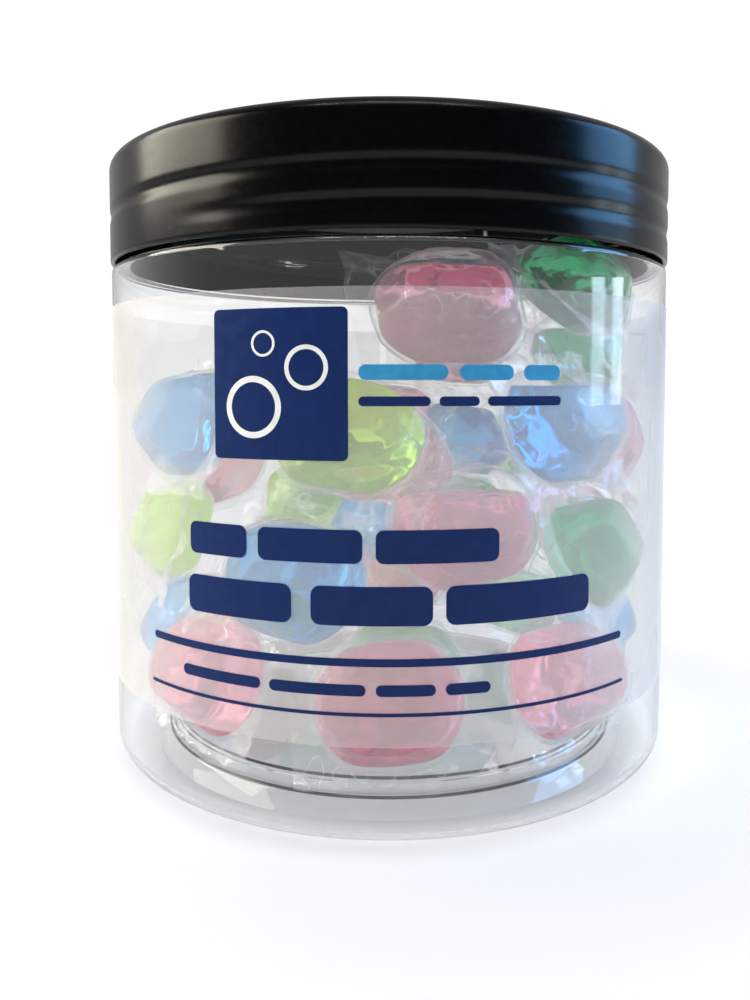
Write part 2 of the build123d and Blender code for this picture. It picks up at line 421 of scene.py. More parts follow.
def mottle_group():
    """A value that wanders softly between two limits over the surface."""
    if "Surface mottle" in bpy.data.node_groups:
        return bpy.data.node_groups["Surface mottle"]
    group, given, result = make_group(
        "Surface mottle", {"Scale": 400.0, "Low": 0.2, "High": 0.4}, "Value", "NodeSocketFloat"
    )
    spread = add_node(group, "MapRange", {
        "Value": cloud(group, given["Scale"], 0.0),
        "From Min": NOISE_LOW,
        "From Max": NOISE_HIGH,
        "To Min": given["Low"],
        "To Max": given["High"],
    })
    feed(group, result, {"Value": spread.outputs["Result"]})
    return group


def ripple_group():
    """A normal that waves with soft ripples."""
    if "Skin ripple" in bpy.data.node_groups:
        return bpy.data.node_groups["Skin ripple"]
    group, given, result = make_group(
        "Skin ripple", {"Scale": 100.0, "Strength": 0.3, "Distance": 0.001}, "Normal", "NodeSocketVector"
    )
    bump = add_node(group, "Bump", {
        "Height": cloud(group, given["Scale"], 0.0),
        "Strength": given["Strength"],
        "Distance": given["Distance"],
    })
    feed(group, result, {"Normal": bump.outputs["Normal"]})
    return group


def painted_fold_highlight_group():
    """A mask of thin winding lines, painted highlights like the glints where crumpled film creases."""
    if "Fold lines" in bpy.data.node_groups:
        return bpy.data.node_groups["Fold lines"]
    group, given, result = make_group(
        "Fold lines", {"Scale": 200.0, "Width": 0.02, "Strength": 0.5}, "Value", "NodeSocketFloat"
    )
    aside = calculate(group, "SUBTRACT", cloud(group, given["Scale"], 1.0), NOISE_MIDDLE)
    line = add_node(group, "MapRange", {
        "Value": calculate(group, "ABSOLUTE", aside),
        "From Max": given["Width"],
        "To Min": given["Strength"],
        "To Max": 0.0,
    })
    feed(group, result, {"Value": line.outputs["Result"]})
    return group


# Materials

# White of the room and of the far floor, seen by the camera or through clear plastic
WHITE_LEVEL = 1.05

# Painted shadow on the floor under the tub: how dark it is, and where it starts to fade and ends
PAINTED_SHADOW_SHARE = 0.5
PAINTED_SHADOW_INSIDE = 40 * MM
PAINTED_SHADOW_OUTSIDE = 54 * MM

# How the label's veil thickens where it is seen edge on
VEIL_STEEPNESS = 4.0
VEIL_AT_EDGE = 0.7

# How the pouch film's gloss grows from a face seen straight on to one seen edge on
GLOSS_STEEPNESS = 3.0
GLOSS_FACE_ON = 0.04
GLOSS_EDGE_ON = 0.95

# What gel lets through at least, and what its colour adds
GEL_LETS_THROUGH = 0.3
GEL_COLOURS_LIGHT = 0.6

# Where the room turns from dark to light, along its depth from -1 to 1
ROOM_DARK_END = -0.35
ROOM_LIGHT_START = 0.45


def start_material(name):
    """A material with a Principled shader on its output."""
    material = bpy.data.materials.new(name)
    material.use_nodes = True
    tree = material.node_tree
    return material, tree, tree.nodes["Principled BSDF"]


def use_group(tree, group, **values):
    """Places a shared effect in a material, with its own values."""
    effect = tree.nodes.new("ShaderNodeGroup")
    effect.node_tree = group
    feed(tree, effect, values)
    return effect.outputs[0]


def lighter(tone, gain, lift=0.0):
    """A lighter tone of the same colour."""
    return [min(1.0, gain * channel + lift) for channel in tone]


def two_tone(tree, first, second, scale):
    """A colour that wanders between two near tones."""
    wander = use_group(tree, mottle_group(), Scale=scale, Low=0.0, High=1.0)
    return blend(tree, wander, (*first, 1), (*second, 1))


def let_light_through(tree, shader, tint):
    """Lamps shine straight through a clear surface, tinted by it."""
    path = add_node(tree, "LightPath")
    clear = add_node(tree, "BsdfTransparent", {"Color": (*tint, 1)})
    mix = add_node(tree, "MixShader", {
        "Fac": path.outputs["Is Shadow Ray"],
        1: shader.outputs["BSDF"],
        2: clear.outputs["BSDF"],
    })
    feed(tree, tree.nodes["Material Output"], {"Surface": mix.outputs["Shader"]})


def clear_plastic(tint):
    """Blown clear plastic, with the faint waves of its wall."""
    material, tree, shader = start_material("clear plastic")
    feed(tree, shader, {
        "Base Color": (*tint, 1),
        "Transmission Weight": 1.0,
        "IOR": 1.5,
        "Roughness": 0.0,
        "Normal": use_group(tree, ripple_group(), Scale=45.0, Strength=0.10, Distance=0.0006),
    })
    let_light_through(tree, shader, tint)
    return material


def satin_paint(paint):
    """Satin black paint with the grain of its spray."""
    material, tree, shader = start_material("satin black paint")
    feed(tree, shader, {
        "Base Color": two_tone(tree, paint, lighter(paint, gain=1.5), scale=900.0),
        "Roughness": use_group(tree, mottle_group(), Scale=1500.0, Low=0.21, High=0.24),
        "Specular IOR Level": 0.20,
        "Normal": use_group(tree, ripple_group(), Scale=2500.0, Strength=0.006, Distance=0.0002),
    })
    return material


def seal_foam():
    """Fine closed-cell foam, dark grey."""
    material, tree, shader = start_material("seal foam")
    feed(tree, shader, {
        "Base Color": two_tone(tree, (0.32, 0.32, 0.31), (0.38, 0.38, 0.37), scale=1200.0),
        "Roughness": 0.85,
        "Normal": use_group(tree, ripple_group(), Scale=1800.0, Strength=0.35, Distance=0.0003),
    })
    return material


def milky_film(film, cover, low_cover):
    """Milky label film, which hides more towards its bottom edge and is a little uneven."""
    material, tree, shader = start_material("milky film")
    axes = add_node(tree, "SeparateXYZ", {"Vector": own_place(tree)})
    height = add_node(tree, "MapRange", {
        "Value": axes.outputs["Z"],
        "From Min": LABEL_LOW.z,
        "From Max": LABEL_HIGH.z,
        "To Min": low_cover,
        "To Max": cover,
    })
    uneven = use_group(tree, mottle_group(), Scale=35.0, Low=0.94, High=1.05)
    veil = calculate(tree, "MULTIPLY", height.outputs["Result"], uneven)
    feed(tree, shader, {
        "Base Color": (*film, 1),
        "IOR": 1.4,
        "Alpha": calculate(tree, "MULTIPLY_ADD", edge_on(tree, VEIL_STEEPNESS), VEIL_AT_EDGE, veil),
        "Roughness": use_group(tree, mottle_group(), Scale=80.0, Low=0.22, High=0.34),
    })
    let_light_through(tree, shader, [1 - cover + cover * channel for channel in film])
    return material


def label_ink(name, ink):
    """Printed ink, a little uneven in tone."""
    material, tree, shader = start_material(name)
    feed(tree, shader, {
        "Base Color": two_tone(tree, ink, lighter(ink, gain=1.12), scale=700.0),
        "Roughness": use_group(tree, mottle_group(), Scale=500.0, Low=0.32, High=0.45),
        "Specular IOR Level": 0.15,
    })
    return material


def clear_gel(name, tint):
    """Coloured see-through gel, rippled by the film that clings to it."""
    material, tree, shader = start_material(name)
    feed(tree, shader, {
        "Base Color": two_tone(tree, tint, lighter(tint, gain=1.1, lift=0.03), scale=120.0),
        "Transmission Weight": 0.74,
        "IOR": 1.38,
        "Roughness": 0.03,
        "Normal": use_group(tree, ripple_group(), Scale=300.0, Strength=0.75, Distance=0.0014),
    })
    let_light_through(tree, shader, [GEL_LETS_THROUGH + GEL_COLOURS_LIGHT * channel for channel in tint])
    return material


def pouch_film():
    """Thin clear film: see-through face on, glossy and whitish along its edges, with painted highlights in
    thin whitish lines for its creases.
    """
    material, tree, shader = start_material("pouch film")
    gloss = add_node(tree, "MapRange", {
        "Value": edge_on(tree, GLOSS_STEEPNESS),
        "To Min": GLOSS_FACE_ON,
        "To Max": GLOSS_EDGE_ON,
    })
    # Painted highlights: thin winding lines make the film whitish and glossy where it would crease, and
    # the lamps light them
    painted_fold_highlights = use_group(tree, painted_fold_highlight_group(), Scale=210.0, Width=0.013, Strength=0.32)
    feed(tree, shader, {
        "Base Color": (0.97, 0.98, 0.99, 1),
        "Metallic": 0.6,
        "Roughness": 0.10,
        "Alpha": calculate(tree, "MAXIMUM", gloss.outputs["Result"], painted_fold_highlights),
    })
    let_light_through(tree, shader, (0.95, 0.95, 0.95))
    return material


def stage_paper(tone, near, far):
    """Matt white paper near the tub with a painted shadow under it, which turns into the white of the room
    beyond the tub's shadow.
    """
    material, tree, shader = start_material("stage paper")
    reach = add_node(tree, "VectorMath", {0: own_place(tree)}, operation="LENGTH").outputs["Value"]
    # Painted shadow: the paper's own colour is darkened under the tub and fades back to its tone further
    # out
    shade = [PAINTED_SHADOW_SHARE * channel for channel in tone]
    under = blend(tree, smooth_rise(tree, reach, PAINTED_SHADOW_INSIDE, PAINTED_SHADOW_OUTSIDE), (*shade, 1), (*tone, 1))
    glow = smooth_rise(tree, reach, near, far)
    feed(tree, shader, {
        "Base Color": blend(tree, glow, under, (0, 0, 0, 1)),
        "Roughness": use_group(tree, mottle_group(), Scale=40.0, Low=0.8, High=0.95),
        "Specular IOR Level": 0.0,
        "Emission Color": (1, 1, 1, 1),
        "Emission Strength": calculate(tree, "MULTIPLY", glow, WHITE_LEVEL),
    })
    return material


def studio_room(level, dark):
    """A white room whose front is dark, where the lid mirrors it."""
    world = bpy.data.worlds.new("studio room")
    world.use_nodes = True
    tree = world.node_tree
    place = add_node(tree, "TexCoord")
    axes = add_node(tree, "SeparateXYZ", {"Vector": place.outputs["Generated"]})
    path = add_node(tree, "LightPath")
    seen = calculate(tree, "MAXIMUM", path.outputs["Is Camera Ray"], path.outputs["Is Transmission Ray"])
    strength = add_node(tree, "Mix", {
        "Factor": seen,
        "A": smooth_rise(tree, axes.outputs["Y"], ROOM_DARK_END, ROOM_LIGHT_START, dark, level),
        "B": WHITE_LEVEL,
    })
    feed(tree, tree.nodes["Background"], {"Color": (1, 1, 1, 1), "Strength": strength.outputs["Result"]})
    return world


# Pieces

# Rings of the jar's base and of the lid's top, as shares of their radius
PANEL_RINGS = (0.3, 0.6, 0.85)
TOP_RINGS = (0.0, 0.3, 0.6, 0.85, 0.97)

# The base's small edges, and its step's width as a share of the slope's
PANEL_EDGE = 0.25 * MM
STEP_SHARE = 0.45

# Bearing where the roll of the lid's lower edge ends, in degrees
BEAD_END = 110

# How far inside a face a point still belongs to it
FACE_ROOM = 0.1 * MM


def jar_profile(size):
    """The jar's outer face from the base to the rim, then its inner face back down."""
    foot_outer = size.radius - size.heel_round
    foot_inner = foot_outer - size.foot_width
    panel = foot_inner - size.panel_draft
    shoulder_centre = (size.radius - size.shoulder_round, size.shoulder_height - size.shoulder_round)
    step_reach = STEP_SHARE * size.panel_draft
    edge = PANEL_EDGE
    body = [(0, size.panel_height)]
    body += [(panel * ring, size.panel_height) for ring in PANEL_RINGS]
    body += [(panel - edge, size.panel_height), (panel, size.panel_height - edge)]
    body += [(panel + edge, size.step_height + edge), (panel + 2 * edge, size.step_height)]
    body += [(panel + step_reach, size.step_height), (panel + step_reach + edge, size.step_height - edge)]
    body += [(foot_inner - edge, edge), (foot_inner, 0)]
    body += arc((foot_outer, size.heel_round), size.heel_round, -90, 0)
    body += climb(size.radius, size.heel_round, shoulder_centre[1], BODY_LOOP)[1:-1]
    body += arc(shoulder_centre, size.shoulder_round, 0, 90)
    inside = offset_line(body, size.wall)
    inside[0] = (0, size.panel_height + size.wall)
    rim = JAR_HIGH.z
    lip = size.rim_round
    neck_inner = size.neck_radius - size.neck_wall
    neck = climb(size.neck_radius, size.shoulder_height, rim - lip, THREAD_LOOP)
    neck += arc((size.neck_radius - lip, rim - lip), lip, 0, 90)[1:]
    neck += arc((neck_inner + lip, rim - lip), lip, 90, 180)
    neck += climb(neck_inner, rim - lip, size.shoulder_height, BODY_LOOP)[1:]
    return body + neck + inside[::-1]


class TUB_OT_jar(bpy.types.Operator):
    """Turns the clear jar and raises the thread round its neck"""

    bl_idname = "tub.jar"
    bl_label = "Jar"

    def execute(self, context):
        size = context.scene.tub_jar
        thread = context.scene.tub_thread
        obj = turn("jar_shell", jar_profile(size), JAR_STEPS)
        foot = LID_LOW.z + thread.lid_rise + thread.neck_offset
        outside = size.neck_radius - FACE_ROOM
        for vertex in obj.data.vertices:
            place = vertex.co
            if math.hypot(place.x, place.y) > outside and place.z > size.shoulder_height:
                raised = ridge(place, thread, foot, thread.neck_turns, thread.half_width)
                push_out(place, thread.depth * raised)
        smooth(obj, JAR_SMOOTH_ANGLE)
        obj.visible_shadow = False
        finish_piece(obj, "jar", "clear_plastic", clear_plastic(size.tint), "jar")
        return {"FINISHED"}


def lid_profile(size):
    """The lid's outer face from the top's middle to the rolled edge, then its inner face back up."""
    top = LID_HIGH.z
    radius = LID_HIGH.x
    corner = (radius - size.edge_round, top - size.edge_round)
    bead = (radius - size.bead, LID_LOW.z + size.bead)
    inner_radius = radius - size.wall
    outside = [(corner[0] * ring, top) for ring in TOP_RINGS]
    outside += arc(corner, size.edge_round, 90, 0)
    outside += climb(radius, corner[1], bead[1], THREAD_LOOP)[1:]
    outside += arc(bead, size.bead, 0, -180)[1:]
    outside += arc(bead, size.bead, 180, BEAD_END)[1:]
    inside = climb(inner_radius, bead[1] + 2 * size.bead, corner[1], THREAD_LOOP)
    inside += arc(corner, size.edge_round - size.wall, 0, 90)[1:]
    inside += [(corner[0] * ring, top - size.wall) for ring in TOP_RINGS[::-1]]
    return outside + inside


class TUB_OT_lid(bpy.types.Operator):
    """Turns the lid's sheet and rolls the thread into its side"""

    bl_idname = "tub.lid"
    bl_label = "Lid"

    def execute(self, context):
        size = context.scene.tub_lid
        thread = context.scene.tub_thread
        obj = turn("lid_shell", lid_profile(size), LID_STEPS)
        foot = LID_LOW.z + thread.lid_rise
        side = LID_HIGH.x - size.wall - FACE_ROOM
        middle = LID_HIGH.x - 0.5 * size.wall
        for vertex in obj.data.vertices:
            place = vertex.co
            radius = math.hypot(place.x, place.y)
            if radius > side:
                if radius > middle:
                    depth = size.groove_depth
                    half_width = size.groove_half_width
                else:
                    depth = thread.depth
                    half_width = thread.half_width
                push_out(place, -depth * ridge(place, thread, foot, thread.lid_turns, half_width))
        smooth(obj)
        finish_piece(obj, "lid", "black_metal", satin_paint(size.paint), "lid")
        return {"FINISHED"}


class TUB_OT_liner(bpy.types.Operator):
    """Gives the seal under the lid its foam"""

    bl_idname = "tub.liner"
    bl_label = "Liner"

    def execute(self, context):
        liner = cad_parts["liner"]
        liner.data.materials.clear()
        liner.data.materials.append(seal_foam())
        return {"FINISHED"}


class TUB_OT_label(bpy.types.Operator):
    """Wraps the milky film round the jar, with its seam at the back"""

    bl_idname = "tub.label"
    bl_label = "Label"

    def execute(self, context):
        look = context.scene.tub_label
        radius = LABEL_HIGH.x - 0.5 * look.thickness
        gap = look.seam / radius
        wall = climb(radius, LABEL_LOW.z, LABEL_HIGH.z, BODY_LOOP)
        obj = turn("label_film", wall, LABEL_STEPS, FULL_TURN - gap)
        obj.data.transform(Matrix.Rotation(-FRONT + 0.5 * gap, 4, "Z"))
        apply_modifier(obj, "SOLIDIFY", thickness=look.thickness, offset=0.0)
        smooth(obj)
        film = milky_film(look.film, look.cover, look.low_cover)
        finish_piece(obj, "jar", "milky_film", film, "label")
        return {"FINISHED"}


# Print, in millimetres on the flat label

# Bars are (left, right, bottom, top) and bubbles (across, height, radius)
PANEL_FIELD = (-25.6, -5.5, 54.0, 74.7)
PANEL_BUBBLES = ((-19.2, 61.2, 4.3), (-11.3, 66.6, 3.1), (-17.6, 69.9, 1.8))
SKY_BARS = ((-4.1, 8.0, 64.9, 67.0), (9.6, 17.4, 64.9, 67.0), (19.0, 25.0, 64.9, 67.0))
SMALL_BARS = ((-4.1, 5.6, 61.4, 62.7), (6.8, 12.4, 61.4, 62.7), (13.6, 25.2, 61.4, 62.7))
FIRST_ROW = ((-30.6, -20.4, 40.1, 44.7), (-18.6, -3.6, 40.1, 44.7), (-1.8, 15.4, 40.1, 44.7))
SECOND_ROW = ((-31.0, -13.6, 31.6, 37.0), (-10.8, 6.0, 31.6, 37.0), (7.8, 31.0, 31.6, 37.0))
LOW_BARS = (
    (-32.4, -18.4, 21.9, 23.5), (-17.0, -3.2, 21.9, 23.5), (-1.8, 6.4, 21.9, 23.5), (7.8, 14.2, 21.9, 23.5)
)
RULES = ((-39.6, 38.9, 26.0, 27.1), (-40.4, 39.6, 19.1, 19.6))

# How round a bar's ends are, as a share of half its height
PANEL_ROUNDING = 0.08
ROW_ROUNDING = 0.5
BAR_ROUNDING = 0.96
ROUNDING_STEPS = 6

# A bubble's sides, and its ring's width as a share of its radius
BUBBLE_SIDES = 48
BUBBLE_WIDTH = 0.2
BUBBLE_WHITE = (0.88, 0.89, 0.90)

# Width of the strips that the print is cut into before it is bent
WRAP_STEP = 2.0 * MM


def flat_bar(bar, rounding):
    """A flat bar on the label's layout, with rounded ends."""
    left, right, bottom, top = [MM * edge for edge in bar]
    clear_selection()
    bpy.ops.mesh.primitive_plane_add(size=1, location=(0.5 * (left + right), 0.5 * (bottom + top), 0))
    obj = bpy.context.object
    begin_edit(obj)
    bpy.ops.transform.resize(value=(right - left, top - bottom, 1))
    bpy.ops.mesh.bevel(offset=rounding * 0.5 * (top - bottom), segments=ROUNDING_STEPS, affect="VERTICES")
    bpy.ops.object.mode_set(mode="OBJECT")
    return obj


def flat_bubble(bubble):
    """A flat ring on the label's layout."""
    across, height, radius = [MM * value for value in bubble]
    clear_selection()
    bpy.ops.mesh.primitive_circle_add(
        vertices=BUBBLE_SIDES, radius=radius, fill_type="NGON", location=(across, height, 0)
    )
    obj = bpy.context.object
    begin_edit(obj)
    bpy.ops.mesh.inset(thickness=BUBBLE_WIDTH * radius)
    bpy.ops.mesh.delete(type="FACE")
    bpy.ops.object.mode_set(mode="OBJECT")
    return obj


def wrap_print(name, shapes, layer, look, material):
    """Joins flat shapes, bends them round the label and gives them the thickness of ink."""
    clear_selection()
    for shape in shapes:
        shape.select_set(True)
    bpy.context.view_layer.objects.active = shapes[0]
    bpy.ops.object.join()
    obj = named(name)
    bpy.ops.object.transform_apply(location=True, rotation=True, scale=True)
    cuts = int(max(abs(vertex.co.x) for vertex in obj.data.vertices) / WRAP_STEP)
    begin_edit(obj)
    for i in range(-cuts, cuts + 1):
        bpy.ops.mesh.select_all(action="SELECT")
        bpy.ops.mesh.bisect(plane_co=(i * WRAP_STEP, 0, 0), plane_no=(1, 0, 0))
    bpy.ops.object.mode_set(mode="OBJECT")
    radius = LABEL_HIGH.x + (1 + 2 * layer) * look.ink_thickness
    for vertex in obj.data.vertices:
        bearing = FRONT + vertex.co.x / LABEL_HIGH.x
        vertex.co = (radius * math.cos(bearing), radius * math.sin(bearing), vertex.co.y)
    apply_modifier(obj, "SOLIDIFY", thickness=look.ink_thickness, offset=0.0)
    begin_edit(obj)
    end_edit()
    finish_piece(obj, "jar", "milky_film", material)


class TUB_OT_print(bpy.types.Operator):
    """Prints the label: a navy panel with bubbles, rows of bars and two rules"""

    bl_idname = "tub.label_print"
    bl_label = "Label print"

    def execute(self, context):
        look = context.scene.tub_label
        navy = label_ink("navy ink", look.navy)
        fields = [flat_bar(PANEL_FIELD, PANEL_ROUNDING)]
        fields += [flat_bar(bar, BAR_ROUNDING) for bar in (*SMALL_BARS, *LOW_BARS, *RULES)]
        fields += [flat_bar(bar, ROW_ROUNDING) for bar in (*FIRST_ROW, *SECOND_ROW)]
        wrap_print("print_navy", fields, 0, look, navy)
        sky = label_ink("sky ink", look.sky)
        wrap_print("print_sky", [flat_bar(bar, BAR_ROUNDING) for bar in SKY_BARS], 0, look, sky)
        white = label_ink("white ink", BUBBLE_WHITE)
        wrap_print("print_white", [flat_bubble(bubble) for bubble in PANEL_BUBBLES], 1, look, white)
        return {"FINISHED"}


# Pods

POD_TONES = ("pink", "blue", "green", "lime")

# A pod's skin: its sides, how crisp its edges are, and the growth that makes up for rounding them
POD_SIDES = 8
CRISPNESS = 13.0
ROUNDING_GAIN = 1.06

# How finely gel and film are divided
GEL_CUTS = 14
FILM_CELLS = 44

# Where the seam lies on the sheet of film, and where a full pod's film starts
SEAM_RING = 0.72
COLLAR_RING = 0.5

# Film: room round the gel, thickness, lowest height and room to the wall
FILM_ROOM = 0.30 * MM
FILM_THICKNESS = 0.16 * MM
FILM_FLOOR = 6.35 * MM
WALL_ROOM = 0.25 * MM
NECK_ROOM = 2 * MM

# How full the pouches are, in turn, and how far gel stands above the seam's middle at least
FULL = 1.0
FILLS = (FULL, FULL, 0.88, FULL, 0.78, FULL)
LEVEL_ROOM = 0.4 * MM

# Dents in the gel
DENT_SIZE = 7 * MM
DENT_DEPTH = 0.035

# Waves in the loose skirt, and how strong the small ones are beside the large
WAVE_SIZE = 6 * MM
SMALL_WAVE_SIZE = 2.4 * MM
SMALL_WAVE_SHARE = 0.5

# Creases in the film, and how strong the small ones are beside the large
CREASE_SIZE = 3.2 * MM
SMALL_CREASE_SIZE = 1.5 * MM
SMALL_CREASE_SHARE = 0.6
CREASE_MIDDLE = 0.45
CREASE_DEPTH = 0.42 * MM
SKIRT_CREASE_DEPTH = 0.5 * MM

# How far the noise moves on from one pod to the next
SEED_STEPS = (3.7, 1.9, 5.3)

# Smallest distance from the middle that still has a direction
NEARLY_NOTHING = 1e-6


def pod_place(node):
    """A pod's own frame: X along its length and Z out of its dome, at the middle of its seam."""
    mesh = node.data
    largest = sorted(mesh.polygons, key=lambda face: face.area)[-2:]
    corners = [mesh.vertices[i].co for face in largest for i in face.vertices]
    back = sum(corners, Vector()) / len(corners)
    up = -largest[0].normal
    first, second, third = corners[:3]
    sides = sorted((second - first, third - second, first - third), key=lambda side: side.length)
    along = sides[1].normalized()
    across = up.cross(along)
    middle = back + up * bpy.context.scene.tub_pods.seam_from_back
    turned = Matrix((along, across, up)).transposed().to_4x4()
    return Matrix.Translation(middle) @ turned


def pod_flats(look):
    """A pod's flats as (direction, distance): its crown, its back, and the sides and corners of both."""
    flats = [(Vector((0, 0, 1)), look.dome), (Vector((0, 0, -1)), look.back)]
    corner_reach = (look.half_length + look.half_width - look.corner) * math.sqrt(0.5)
    reaches = (look.half_length, corner_reach, look.half_width, corner_reach)
    for height, draw in ((look.dome, look.dome_draw), (-look.back, look.back_draw)):
        for side in range(POD_SIDES):
            bearing = side * FULL_TURN / POD_SIDES
            reach = reaches[side % len(reaches)]
            outward = Vector((math.cos(bearing), math.sin(bearing), draw / height)).normalized()
            flats.append((outward, reach * math.hypot(outward.x, outward.y)))
    return flats


def pod_reach(aim, flats):
    """Distance from the seam's middle to the skin along a direction, with the flats' edges rounded."""
    press = sum((max(0.0, outward.dot(aim)) / distance) ** CRISPNESS for outward, distance in flats)
    return ROUNDING_GAIN * press ** (-1 / CRISPNESS)


def gel_master(look):
    """A plump block of gel with rounded flats, shallower at the back than at the dome."""
    clear_selection()
    bpy.ops.mesh.primitive_cube_add(size=2, location=(0, 0, 0))
    obj = named("gel_master")
    begin_edit(obj)
    bpy.ops.mesh.subdivide(number_cuts=GEL_CUTS)
    bpy.ops.object.mode_set(mode="OBJECT")
    flats = pod_flats(look)
    for vertex in obj.data.vertices:
        aim = vertex.co.normalized()
        vertex.co = aim * pod_reach(aim, flats)
    return obj


def film_master(look, opening):
    """A pouch of film: two skins that bulge inside the seam and lie together in the skirt.

    Faces nearer the middle than the opening are left out, where the film clings to full gel.
    """
    clear_selection()
    bpy.ops.mesh.primitive_grid_add(x_subdivisions=FILM_CELLS, y_subdivisions=FILM_CELLS, size=2)
    obj = named("film_master")
    apply_modifier(obj, "SOLIDIFY", thickness=FILM_THICKNESS, offset=0.0)
    begin_edit(obj)
    bpy.ops.mesh.select_mode(type="FACE")
    bpy.ops.mesh.select_all(action="DESELECT")
    bpy.ops.object.mode_set(mode="OBJECT")
    for face in obj.data.polygons:
        face.select = max(abs(face.center.x), abs(face.center.y)) < opening
    bpy.ops.object.mode_set(mode="EDIT")
    bpy.ops.mesh.delete(type="FACE")
    bpy.ops.mesh.select_mode(type="VERT")
    bpy.ops.object.mode_set(mode="OBJECT")
    flats = pod_flats(look)
    edge = (look.half_length + look.skirt, look.half_width + look.skirt)
    for vertex in obj.data.vertices:
        x, y, skin = vertex.co
        ring = max(abs(x), abs(y), NEARLY_NOTHING)
        outward = Vector((x / ring * edge[0], y / ring * edge[1], 0))
        raised = 0.5 * math.pi * (1 - min(ring / SEAM_RING, 1.0))
        upward = Vector((0, 0, math.copysign(math.sin(raised), skin)))
        aim = (outward.normalized() * math.cos(raised) + upward).normalized()
        on_pouch = aim * (pod_reach(aim, flats) + FILM_ROOM)
        loose = max(0.0, (ring - SEAM_RING) / (1 - SEAM_RING))
        vertex.co = on_pouch.lerp(outward, loose) + Vector((0, 0, skin))
    return obj


def copy_of(master, name):
    """A copy with a mesh of its own."""
    made = master.copy()
    made.data = master.data.copy()
    made.name = name
    made.data.name = name
    bpy.context.scene.collection.objects.link(made)
    return made


def shape_gel(obj, place, seed, fill):
    """Dents the gel, sets it in its pod and levels its top where the pouch has air in it."""
    middle = place.translation
    points = []
    for vertex in obj.data.vertices:
        dent = DENT_DEPTH * (1 + noise.noise(vertex.co / DENT_SIZE + seed))
        points.append(place @ (vertex.co * (1 - dent)))
    low = min(point.z for point in points)
    high = max(point.z for point in points)
    level = max(low + fill * (high - low), middle.z + LEVEL_ROOM)
    for vertex, point in zip(obj.data.vertices, points):
        if point.z > level:
            point = middle + (point - middle) * (level - middle.z) / (point.z - middle.z)
        vertex.co = point


def keep_inside(point, jar):
    """Presses a point of film back inside the jar's wall and above its base."""
    limit = jar.radius - jar.wall - WALL_ROOM
    if point.z > jar.shoulder_height - NECK_ROOM:
        limit = jar.neck_radius - jar.neck_wall - WALL_ROOM
    radius = math.hypot(point.x, point.y)
    if radius > limit:
        point.x *= limit / radius
        point.y *= limit / radius
    point.z = max(point.z, FILM_FLOOR)
    return point


def shape_film(obj, place, seed, look, jar):
    """Crumples the pouch, waves its skirt and sets it in its pod."""
    seam = (look.half_length + FILM_ROOM, look.half_width + FILM_ROOM)
    for vertex in obj.data.vertices:
        point = vertex.co.copy()
        beyond = max(abs(point.x) - seam[0], abs(point.y) - seam[1], 0.0) / look.skirt
        plan = Vector((point.x, point.y, 0))
        small_wave = SMALL_WAVE_SHARE * noise.noise(plan / SMALL_WAVE_SIZE - seed)
        wave = noise.noise(plan / WAVE_SIZE + seed) + small_wave
        point.z += look.flutter * ease(beyond) * wave
        small_crease = SMALL_CREASE_SHARE * abs(noise.noise(point / SMALL_CREASE_SIZE - seed))
        crease = abs(noise.noise(point / CREASE_SIZE + seed)) + small_crease
        point += point.normalized() * CREASE_DEPTH * (crease - CREASE_MIDDLE)
        point.z += SKIRT_CREASE_DEPTH * beyond * (crease - CREASE_MIDDLE)
        vertex.co = keep_inside(place @ point, jar)


class TUB_OT_pods(bpy.types.Operator):
    """Fills the jar with pods, each a block of gel in a pouch of clear film"""

    bl_idname = "tub.pods"
    bl_label = "Pods"

    def execute(self, context):
        look = context.scene.tub_pods
        jar = context.scene.tub_jar
        film_skin = pouch_film()
        gels = {tone: clear_gel(tone + " gel", getattr(look, tone)) for tone in POD_TONES}
        gel_block = gel_master(look)
        film_pouch = film_master(look, 0.0)
        film_skirt = film_master(look, COLLAR_RING)
        for number, node in enumerate(POD_NODES):
            tone = node.split("_")[-1]
            place = pod_place(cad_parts[node])
            seed = Vector([step * number for step in SEED_STEPS])
            fill = FILLS[number % len(FILLS)]
            gel = copy_of(gel_block, node.replace("pod", "gel", 1))
            shape_gel(gel, place, seed, fill)
            smooth(gel)
            gel.visible_shadow = False
            finish_piece(gel, "jar", "pod_" + tone, gels[tone], node)
            film = copy_of(film_skirt if fill == FULL else film_pouch, node.replace("pod", "film", 1))
            shape_film(film, place, seed, look, jar)
            smooth(film)
            film.visible_shadow = False
            finish_piece(film, "jar", "pod_" + tone, film_skin)
        for master in (gel_block, film_pouch, film_skirt):
            bpy.data.objects.remove(master)
        return {"FINISHED"}


# Stage

# The photograph's lens, in its own pixels
PHOTO_LONG_SIDE = 1000
FOCAL_PIXELS = 880
LENS_CENTRE_OFFSET = (14, -70)
SENSOR_SIZE = 36.0

# The floor, and where its paper starts and ends turning white, in metres
FLOOR_SIDES = 96
FLOOR_RADIUS = 30.0
SHADOW_REACH = 0.045
GLOW_REACH = 0.11

# What the lights face, and their colours
TUB_MIDDLE = (0, 0, 0.05)
LID_MIDDLE = (0, 0, 0.1)
WHITE = (1, 1, 1)
PALE_BLUE = (0.66, 0.88, 1.0)
DEEP_BLUE = (0.18, 0.50, 1.0)
WARM = (1.0, 0.94, 0.79)
CEILING_LAMPS_ACROSS = (-0.38, -0.06, 0.16, 0.40)

# How far light is followed through the plastic, the film and the gel
LIGHT_PATHS = {
    "max_bounces": 7,
    "transmission_bounces": 7,
    "diffuse_bounces": 1,
    "glossy_bounces": 2,
    "transparent_max_bounces": 64,
    "sample_clamp_indirect": 4.0,
    "caustics_reflective": False,
}


def area_light(name, place, size, power, tone, aim=TUB_MIDDLE):
    """A soft rectangular light that faces a point."""
    clear_selection()
    bpy.ops.object.light_add(type="AREA", location=place)
    light = named(name)
    light.data.shape = "RECTANGLE"
    light.data.size, light.data.size_y = size
    light.data.energy = power
    light.data.color = tone
    light.rotation_euler = (Vector(aim) - Vector(place)).to_track_quat("-Z", "Y").to_euler()


